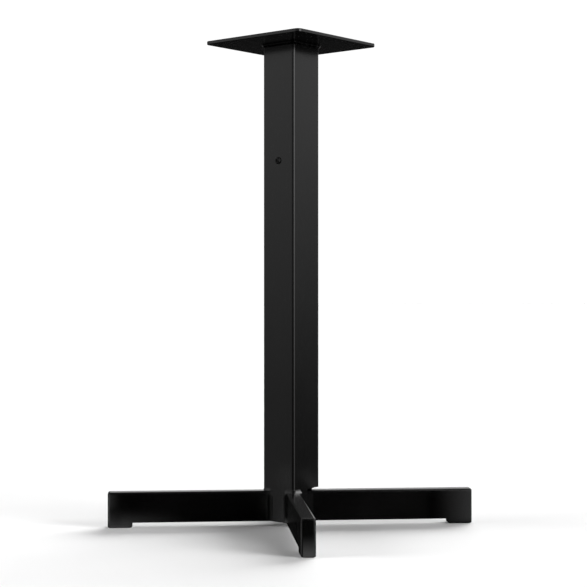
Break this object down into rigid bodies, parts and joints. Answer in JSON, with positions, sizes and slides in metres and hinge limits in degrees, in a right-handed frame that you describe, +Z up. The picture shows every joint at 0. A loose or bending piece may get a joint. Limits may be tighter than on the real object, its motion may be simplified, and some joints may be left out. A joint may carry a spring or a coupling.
{
  "type": "pedestal stand",
  "caption": "Black steel pedestal stand: a square column on a low cross base, with a square drilled top plate and a small socket screw in the column.",
  "frame": {"origin": "on the floor, on the column's axis", "axes": "+Z up along the column; X and Y along the legs of the cross, so the plate's corners stand over the legs; -Y is the front, and the side screw is in the wall that faces -X and -Y"},
  "size_m": [0.544, 0.544, 0.72],
  "materials": {
    "powder_coat": "black powder coat, satin, fine orange peel",
    "weld_bead": "black powder coat over rippled weld beads",
    "foot_pad": "thin matte black pads",
    "black_screw": "black oxide, semi-gloss",
    "zinc_insert": "zinc plated"
  },
  "bodies": {
    "root": {"top_plate": "powder_coat", "column": "powder_coat", "cross_bar_left_to_right": "powder_coat", "cross_bar_front_to_rear": "powder_coat", "top_plate_weld": "weld_bead", "leg_weld_front": "weld_bead", "leg_weld_left": "weld_bead", "leg_weld_rear": "weld_bead", "leg_weld_right": "weld_bead", "cross_weld": "weld_bead", "foot_pad_front": "foot_pad", "foot_pad_left": "foot_pad", "foot_pad_rear": "foot_pad", "foot_pad_right": "foot_pad", "side_screw": "black_screw", "screw_insert": "zinc_insert"}
  },
  "joints": []
}
